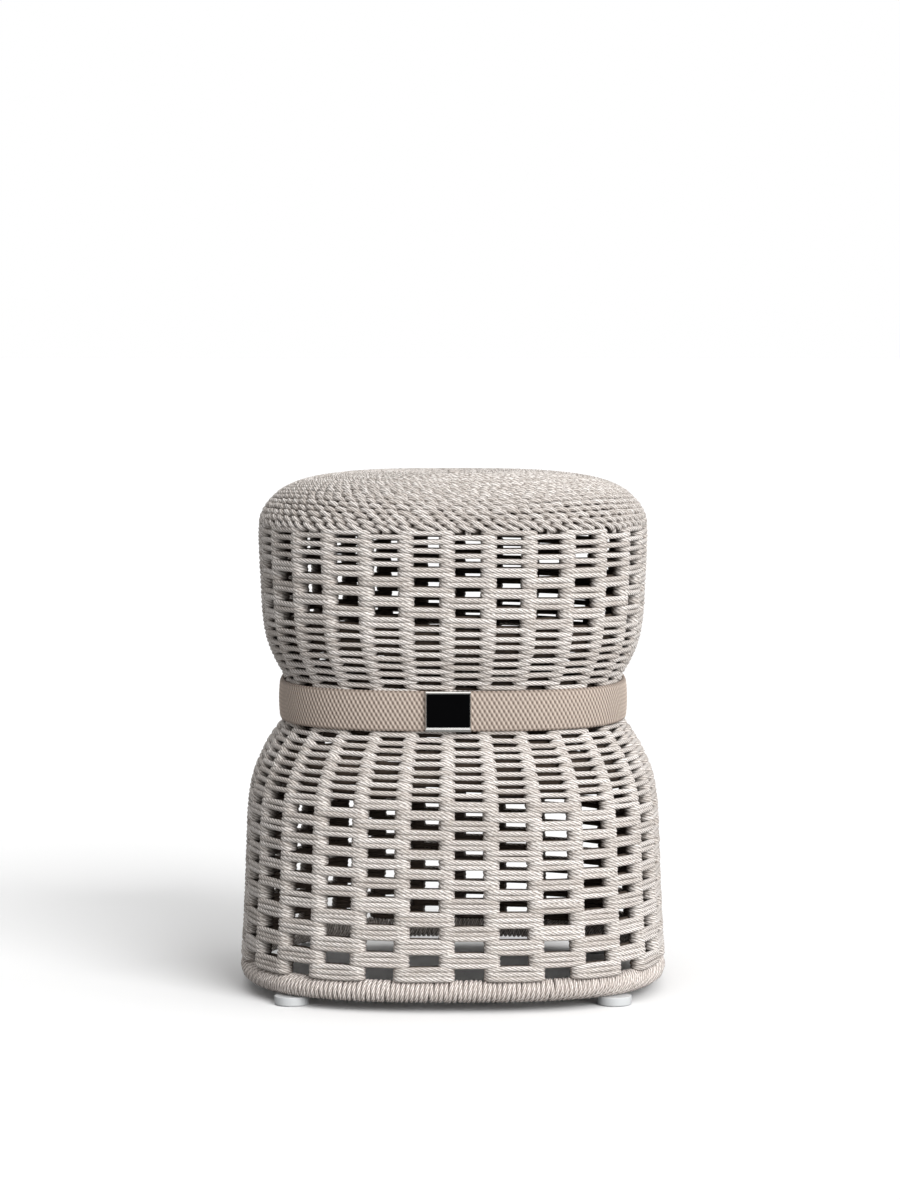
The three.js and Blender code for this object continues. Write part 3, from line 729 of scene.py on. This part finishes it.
# %% [markdown]
# The radial strands end in a small knot. A three-lobed knot has a formula: a point goes twice round while
# it moves in and out, and up and down, three times. The rope is drawn thinner there, because it is pulled
# tight.

# %% Knot in the middle of the seat
knot_points, knot_turns, knot_lobes = 60, 2, 3
knot_ring, knot_bulge, knot_rope, knot_rise = 2.7, 1.5, 3.2, 1.2


def knot_line():
    """A flat three-lobed knot, closed on itself."""
    turn = np.linspace(0, 2 * np.pi, knot_points, endpoint=False)
    reach = knot_ring + knot_bulge * np.cos(knot_lobes * turn)
    height = outline[-1, 1] + knot_rise + np.sin(knot_lobes * turn)
    return np.stack([reach * np.cos(knot_turns * turn), reach * np.sin(knot_turns * turn), height], -1)[None]


knot_pressed = np.tile([0.0, 0.0, 1.0], (1, knot_points, 1))
knot = ropes("seat_knot_turns", knot_line(), True, knot_pressed, np.ones((1, knot_points)), rope_finish,
             thickness=knot_rope, seed=32)
dress(knot, "rope", "seat_knot")

# %% [markdown]
# ## The base ring's wrapping
# Rope is wound tightly round the ring, nearly three hundred turns of it. It is one closed helix that follows
# the plan, because one turn, repeated, would lack the slope of the real ones. Each turn leans by a random
# amount, and is flatter along the ring than the rope is thick, because the turns press on each other.

# %% Wrapping of the base ring
wrap_low, wrap_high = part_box("base_rope_wrap")
wrap_radius = (wrap_high.z - wrap_low.z) / 2 / mm
ring_height = (wrap_high.z + wrap_low.z) / 2 / mm
ring_reach = wrap_high.x / mm - wrap_radius
wrap_pitch = 4.0
wrap_overlap = 1.02
turn_lean, turn_sink = 0.5, 0.15
points_per_turn = 10


def wrap_line():
    """The helix, which starts at the back, and the direction along the ring at each of its points."""
    turns = round(plan_perimeter * ring_reach / wrap_pitch)
    count = turns * points_per_turn
    share = np.arange(count) / count
    unit, out = plan_place(angle_at_share(share + 0.5))
    random = np.random.default_rng(41)
    lean = np.interp(share * turns, np.arange(turns + 1), random.normal(0, turn_lean, turns + 1))
    turn = 2 * np.pi * share * turns
    reach = wrap_radius - rope_thickness / 2 + turn_sink * np.sin(lean)
    ring = np.stack([-out[:, 1], out[:, 0], np.zeros(count)], -1)
    centre = np.concatenate([unit * ring_reach, np.full((count, 1), ring_height)], -1)
    aside = np.concatenate([out * (reach * np.cos(turn))[:, None], (reach * np.sin(turn))[:, None]], -1)
    slant = (lean * np.sin(turn))[:, None] * ring
    return (centre + aside + slant)[None], ring[None]


wrap_runs, wrap_ring = wrap_line()
wrap_keep = np.full(wrap_runs.shape[:2], wrap_pitch / rope_thickness * wrap_overlap)
wrap = ropes("base_wrap_turns", wrap_runs, True, wrap_ring, wrap_keep, wrap_finish, seed=42)
dress(wrap, "wrap_rope", "base_rope_wrap")

# %% [markdown]
# ## The strap
# The strap is a flat plait of beige polyester webbing, about 34 mm tall. Its plait shows as staggered rows of
# short, sloping lumps about 4 mm apart. Its mesh is going to carry how high on a lump each point is, and the
# finish reads that: the tops are light, and the hollows get a warm dark brown that is painted shade. Finer
# noise stands for the threads, in the tone and in the relief. The fibre isn't coated, so it is matt.

# %% Strap finish
# The hollow colour is painted shade, for the plait's hollows
lump_tone, hollow_shade = "dacabd", "5a4a3f"
thread_size, thread_share = 0.6, 0.35
thread_relief, thread_strength = 0.35, 0.8
lump_low, lump_high = 0.2, 1.1
webbing_roughness = 0.8


def webbing_material():
    """Plaited polyester webbing: light lumps on a warm ground that is painted shade, uneven from its fine
    threads.
    """
    material, tree = new_material("plaited_webbing")
    lump = add(tree, "ShaderNodeAttribute", attribute_name="lump").outputs["Fac"]
    place = add(tree, "ShaderNodeTexCoord").outputs["Object"]
    threads = add(tree, "ShaderNodeTexNoise",
                  {"Vector": place, "Scale": 1 / (thread_size * mm), "Detail": 2.0})
    mixed = add(tree, "ShaderNodeMath", {0: threads, 1: thread_share, 2: lump}, operation="MULTIPLY_ADD")
    share = add(tree, "ShaderNodeMapRange", {"Value": mixed, "From Min": lump_low, "From Max": lump_high})
    # Painted shade: the hollows are mixed towards a dark warm brown
    finish = add(tree, "ShaderNodeMixRGB",
                 {"Fac": share, "Color1": colour(hollow_shade), "Color2": colour(lump_tone)})
    surface(tree, finish, webbing_roughness, mixed, thread_relief, thread_strength)
    return material


webbing_finish = webbing_material()
print("material:", webbing_finish.name)

# %% [markdown]
# The lumps are coarse enough to be part of the mesh. One section of the strap, with its crowned outer face,
# round edges and back, is carried round the waist in fine steps. Two crossing waves push the outer face in
# and out, one stronger than the other, which slopes the lumps. Plaiting the strap from single threads would
# be nearer to the real one, but in the picture nobody could see them cross.

# %% Strap
strap_low, strap_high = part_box("waist_strap")
strap_thickness = 5.0
strap_outer = strap_high.x / mm
strap_inner = strap_outer - strap_thickness
strap_half_height = (strap_high.z - strap_low.z) / 2 / mm
strap_height = (strap_high.z + strap_low.z) / 2 / mm
strap_crown = 1.2
strap_edge_radius, edge_inset, edge_lump_share = 2.2, 1.0, 0.4
edge_points, back_points = 9, 6
strap_step = 0.7
plait_pitch, plait_row = 4.1, 6.8
plait_lean_share = 0.68
lump_push, lump_middle = 0.7, 0.6
back_lump_share = 0.5


def ring_mesh(name, points, finish):
    """A mesh from rings of points (rings, points in a ring, 3) in metres. The last ring joins the first."""
    rings, rows = points.shape[:2]
    i, j = np.meshgrid(np.arange(rings), np.arange(rows), indexing="ij")
    here, there = i * rows, (i + 1) % rings * rows
    after = (j + 1) % rows
    faces = np.stack([here + j, there + j, there + after, here + after], -1)
    mesh = bpy.data.meshes.new(name)
    mesh.from_pydata(points.reshape(-1, 3).tolist(), [], faces.reshape(-1, 4).tolist())
    mesh.materials.append(finish)
    return mesh


def strap_section():
    """Reach, height and share of the lumps, at the points round one section of the strap."""
    flat_half = strap_half_height - strap_edge_radius
    flat = np.linspace(-1, 1, int(2 * flat_half / strap_step)) * flat_half
    crown = strap_crown * (1 - (flat / strap_half_height) ** 2)
    outer = [(strap_outer - strap_crown + rise, z, 1.0) for rise, z in zip(crown, flat)]
    edge_reach = strap_outer - strap_edge_radius - edge_inset
    top = [(edge_reach + strap_edge_radius * math.cos(turn), flat_half + strap_edge_radius * math.sin(turn),
            edge_lump_share) for turn in np.radians(np.linspace(0, 180, edge_points))[1:-1]]
    back_half = strap_half_height - 2 * strap_edge_radius
    back = [(strap_inner, z, 0.0) for z in np.linspace(1, -1, back_points) * back_half]
    bottom = [(reach, -height, face) for reach, height, face in reversed(top)]
    return np.array(outer + top + back + bottom)


def make_strap():
    """The strap as a closed ring, with a lump attribute for its finish."""
    section = strap_section()
    count = int(plan_perimeter * strap_outer / strap_step)
    count -= count % 2
    unit, out = plan_place(angle_at_share(np.arange(count) / count))
    repeats = round(plan_perimeter * strap_outer / plait_pitch)
    along = np.arange(count)[:, None] / count * repeats
    across = section[None, :, 1] / plait_row
    first = np.cos(2 * np.pi * (along + across))
    second = np.cos(2 * np.pi * (along - across))
    lump = (plait_lean_share * first + (1 - plait_lean_share) * second + 1) / 2
    reach = section[None, :, 0] + (lump - lump_middle) * lump_push * section[None, :, 2]
    height = np.broadcast_to(strap_height + section[None, :, 1:2], reach.shape + (1,))
    points = np.concatenate([unit[:, None] * reach[..., None], height], -1)
    mesh = ring_mesh("waist_strap_plait", points * mm, webbing_finish)
    data = mesh.attributes.new("lump", "FLOAT", "POINT").data
    # The lump attribute sets how far the finish leaves the painted shade of the hollows: on the edges and the
    # back it is smaller, so these are painted darker too
    shown = lump * (back_lump_share + (1 - back_lump_share) * section[None, :, 2])
    data.foreach_set("value", shown.astype(np.float32).ravel())
    mesh.shade_smooth()
    return put(mesh.name, mesh)


strap = make_strap()
dress(strap, "webbing", "waist_strap")
print("strap faces:", len(strap.data.polygons))

# %% [markdown]
# ## Hard pieces
# The clasp, the glides and the frame keep the places that the solid model gives them, and each gets the
# finish of its material. One function makes them all, since they differ in tone, gloss and grain only. A
# hard surface is never quite even, so noise varies its tone and roughness a little and gives it a faint
# relief.

# %% Finishes of the hard pieces
roughness_spread = 0.2
grain_strength = 0.5


def hard_material(name, code, roughness, grain, grain_depth, metallic=0.0, mottle=0.06, specular=0.5):
    """A hard finish. The grain is in mm, and the mottle says how far its tone varies."""
    material, tree = new_material(name)
    place = add(tree, "ShaderNodeTexCoord").outputs["Object"]
    noise = add(tree, "ShaderNodeTexNoise", {"Vector": place, "Scale": 1 / (grain * mm), "Detail": 3.0})
    # Noise keeps to the middle third of its range, so the dark end is set three times as far off
    dark = (*[part * (1 - 3 * mottle) for part in colour(code)[:3]], 1)
    finish = add(tree, "ShaderNodeMixRGB", {"Fac": noise, "Color1": dark, "Color2": colour(code)})
    rough = add(tree, "ShaderNodeMapRange", {"Value": noise, "To Min": roughness * (1 - roughness_spread),
                                             "To Max": roughness * (1 + roughness_spread)})
    surface(tree, finish, rough, noise, grain_depth, grain_strength,
            **{"Metallic": metallic, "Specular IOR Level": specular})
    return material


# Powder paint is baked on to aluminium tube, and flows out to a satin coat with a fine peel
paint = hard_material("powder_coated_aluminium", "8f857c", roughness=0.55, grain=0.7, grain_depth=0.08)
# Nickel is plated on and polished, so it mirrors what is round it, a little blurred
nickel = hard_material("polished_nickel", "c9c8c5", roughness=0.22, grain=1.5, grain_depth=0.01,
                       metallic=1.0, mottle=0.02)
# Enamel is stoved lacquer with an even black. It is smooth, but faces a dark part of the studio, so it hardly
# reflects here
enamel = hard_material("black_enamel", "050506", roughness=0.35, grain=3.0, grain_depth=0.01,
                       mottle=0.1, specular=0.02)
# Polypropylene is moulded, milky white and slightly waxy
glide_finish = hard_material("milky_polypropylene", "d6d8d9", roughness=0.42, grain=1.2, grain_depth=0.02,
                             mottle=0.02)
# The screws are stainless steel, left as the cutting tool leaves it
steel = hard_material("stainless_steel", "aaaaaa", roughness=0.35, grain=0.8, grain_depth=0.02, metallic=1.0)
finishes = {"clasp_panel": enamel, "clasp": nickel, "foot_screw": steel, "foot": glide_finish}
for name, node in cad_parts.items():
    finish = next((finishes[start] for start in finishes if name.startswith(start)), paint)
    node.data.materials.clear()
    node.data.materials.append(finish)
print("finishes:", paint.name, *[finish.name for finish in finishes.values()])

# %% [markdown]
# The clasp is a stamped metal plate with polished edges, and its panel a smaller one. The solid model
# leaves their edges sharp, so a copy of each solid is merged, its flat faces are joined and its edges get a
# small bevel. The frame also has a raised lip with a crest. A bevel couldn't raise it above the frame's
# face, so the lip is one profile that goes round the panel with mitred corners.

# %% Clasp
# In mm, in degrees, and a count
merge_distance, flat_angle, bevel_segments = 0.01, 3, 3
rim_bevel, face_bevel = 0.35, 0.25
# Share of the bar's width from outside to inside, and how far in front of the frame's face in mm
lip_profile = ((0.04, -0.5), (0.04, 0.1), (0.5, 0.75), (0.96, 0.2), (0.96, -0.5))


def softened(node, name, width, finish):
    """A merged copy of a solid with its edges bevelled, at the same place."""
    made = put(name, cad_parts[node].data.copy())
    merge = made.modifiers.new("merge", "WELD")
    merge.merge_threshold = merge_distance * mm
    flatten = made.modifiers.new("flatten", "DECIMATE")
    flatten.decimate_type = "DISSOLVE"
    flatten.angle_limit = math.radians(flat_angle)
    bevel = made.modifiers.new("bevel", "BEVEL")
    bevel.width = width * mm
    bevel.segments = bevel_segments
    bevel.limit_method = "ANGLE"
    bevel.harden_normals = True
    made.data = applied(made, name)
    made.modifiers.clear()
    made.data.materials.clear()
    made.data.materials.append(finish)
    return made


def clasp_lip():
    """The frame's raised lip: four bars round the panel, each with a crest between two sloping facets."""
    outer_low, outer_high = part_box("clasp_frame")
    inner_low, inner_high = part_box("clasp_panel")
    front = outer_low.y
    bars = {side: abs(outer - inner) for side, outer, inner in (
        ("left", outer_low.x, inner_low.x), ("right", outer_high.x, inner_high.x),
        ("bottom", outer_low.z, inner_low.z), ("top", outer_high.z, inner_high.z))}
    rings = []
    for share, forward in lip_profile:
        left, right = outer_low.x + share * bars["left"], outer_high.x - share * bars["right"]
        bottom, top = outer_low.z + share * bars["bottom"], outer_high.z - share * bars["top"]
        depth = front - forward * mm
        rings.append([(left, depth, bottom), (left, depth, top), (right, depth, top), (right, depth, bottom)])
    return put("clasp_lip", ring_mesh("clasp_lip", np.array(rings), nickel))


clasp_rim = join("clasp_rim", [softened("clasp_frame", "clasp_rim", rim_bevel, nickel), clasp_lip()])
clasp_face = softened("clasp_panel", "clasp_face", face_bevel, enamel)
dress(clasp_rim, "bright_metal", "clasp_frame")
dress(clasp_face, "black_enamel", "clasp_panel")
print("clasp faces:", len(clasp_rim.data.polygons), len(clasp_face.data.polygons))

# %% [markdown]
# The glides are moulded round, with a soft edge below and a recess for the screw's head. One profile, from
# the recess over the foot and the top to the bore, is turned round an axis, as on a lathe. The solids are
# round with fewer sides, which would show at their edge.

# %% Turned glides
glide_sides = 48
bore_radius, recess_radius, recess_depth = 2.3, 5.0, 4.0
foot_edge, foot_edge_points, top_edge = 1.6, 5, 0.4
sharp_angle = 35


def turned_glide(number):
    """A glide in the place of its solid."""
    low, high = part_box(f"foot_{number}")
    radius, height = (high.x - low.x) / 2 / mm, (high.z - low.z) / mm
    rounding = [(radius - foot_edge + foot_edge * math.sin(turn), foot_edge - foot_edge * math.cos(turn))
                for turn in np.radians(np.linspace(0, 90, foot_edge_points))]
    profile = [(recess_radius, 0), *rounding, (radius, height - top_edge), (radius - top_edge, height),
               (bore_radius, height), (bore_radius, recess_depth), (recess_radius, recess_depth)]
    turn = 2 * np.pi * np.arange(glide_sides)[:, None] / glide_sides
    reach, level = np.array(profile).T
    points = np.stack([np.cos(turn) * reach, np.sin(turn) * reach, 0 * turn + level], -1)
    centre = np.array([(low.x + high.x) / 2, (low.y + high.y) / 2, low.z])
    mesh = ring_mesh(f"glide_{number}", points * mm + centre, glide_finish)
    mesh.shade_smooth()
    mesh.set_sharp_from_angle(angle=math.radians(sharp_angle))
    return put(mesh.name, mesh)


glide_count = 4
for number in range(1, glide_count + 1):
    dress(turned_glide(number), "glide_plastic", f"foot_{number}")
print("glides:", glide_count)

# %% [markdown]
# ## Floor and light
# The stool stands on white paper that runs on into a white background. In a studio that background has
# lamps of its own. Here one plain finish does it. The camera sees paper that is nearly white, and away from
# the stool a faint glow on top, while every other ray meets grey paper. So the floor is white in the
# picture, but doesn't throw more light up under the stool than the photograph shows.

# %% Floor
# Half its side, in metres
floor_reach = 60
seen_paper, lit_paper = "fdfdfd", "9a9a9a"
paper_roughness = 0.9
floor_glow = 0.04
# The glow begins this far from the middle, in metres, and is full further out
glow_start, glow_full = 0.18, 0.26


def floor_material():
    """Paper that the camera sees as white, and that lights the stool as a grey one would."""
    material, tree = new_material("white_paper")
    sight = add(tree, "ShaderNodeLightPath").outputs["Is Camera Ray"]
    paper = add(tree, "ShaderNodeMixRGB",
                {"Fac": sight, "Color1": colour(lit_paper), "Color2": colour(seen_paper)})
    shader = add(tree, "ShaderNodeBsdfPrincipled", {"Base Color": paper, "Roughness": paper_roughness})
    place = add(tree, "ShaderNodeTexCoord").outputs["Object"]
    reach = add(tree, "ShaderNodeVectorMath", {0: place}, operation="LENGTH").outputs["Value"]
    outside = add(tree, "ShaderNodeMapRange",
                  {"Value": reach, "From Min": glow_start, "From Max": glow_full, "To Max": floor_glow})
    strength = add(tree, "ShaderNodeMath", {0: sight, 1: outside}, operation="MULTIPLY")
    glow = add(tree, "ShaderNodeEmission", {"Color": (1, 1, 1, 1), "Strength": strength})
    both = add(tree, "ShaderNodeAddShader", {0: shader, 1: glow})
    add(tree, "ShaderNodeOutputMaterial", {"Surface": both})
    return material


corners = [(x * floor_reach, y * floor_reach, 0) for x, y in ((-1, -1), (1, -1), (1, 1), (-1, 1))]
floor_mesh = bpy.data.meshes.new("floor")
floor_mesh.from_pydata(corners, [], [(0, 1, 2, 3)])
floor_mesh.materials.append(floor_material())
floor = put("floor", floor_mesh)
print("floor sides in metres:", [round(side) for side in floor.dimensions[:2]])

# %% [markdown]
# The photograph's light comes softly from the front right, as from a large lamp, and white walls send some of
# it back from all round. A sun with a disc many degrees wide gives such soft shadows and needs no place, only
# a direction. A strong one stands in front, and weaker ones to the right, above and behind. The camera and
# reflections see a white sky, but it lights less than that, or the shadows between the ropes would wash out.

# %% Lights
# Degrees from the front towards the right, degrees up, strength, and the disc's width in degrees
suns = {"key": (32, 26, 2.95, 40), "side": (90, 25, 0.55, 60),
        "top": (0, 75, 0.75, 60), "back": (180, 20, 0.5, 80)}
sky_light = 0.26


def sun(name, azimuth, elevation, strength, width):
    """A sun that shines from this direction."""
    data = bpy.data.lights.new(name, "SUN")
    data.energy = strength
    data.angle = math.radians(width)
    turn, rise = math.radians(azimuth), math.radians(elevation)
    towards = Vector((math.sin(turn) * math.cos(rise), -math.cos(turn) * math.cos(rise), math.sin(rise)))
    lamp = put(name, data)
    lamp.rotation_euler = towards.to_track_quat("Z", "Y").to_euler()


for name, values in suns.items():
    sun(name, *values)
world = bpy.data.worlds.new("white_sky")
world.use_nodes = True
sky = world.node_tree
sky.nodes.clear()
path = add(sky, "ShaderNodeLightPath")
seen = add(sky, "ShaderNodeMath", {0: path.outputs["Is Camera Ray"], 1: path.outputs["Is Glossy Ray"]},
           operation="MAXIMUM")
level = add(sky, "ShaderNodeMapRange", {"Value": seen, "To Min": sky_light, "To Max": 1.0})
light = add(sky, "ShaderNodeBackground", {"Color": (1, 1, 1, 1), "Strength": level})
add(sky, "ShaderNodeOutputWorld", {"Surface": light})
bpy.context.scene.world = world
bpy.context.scene.view_settings.view_transform = "Standard"
print("suns:", ", ".join(suns))
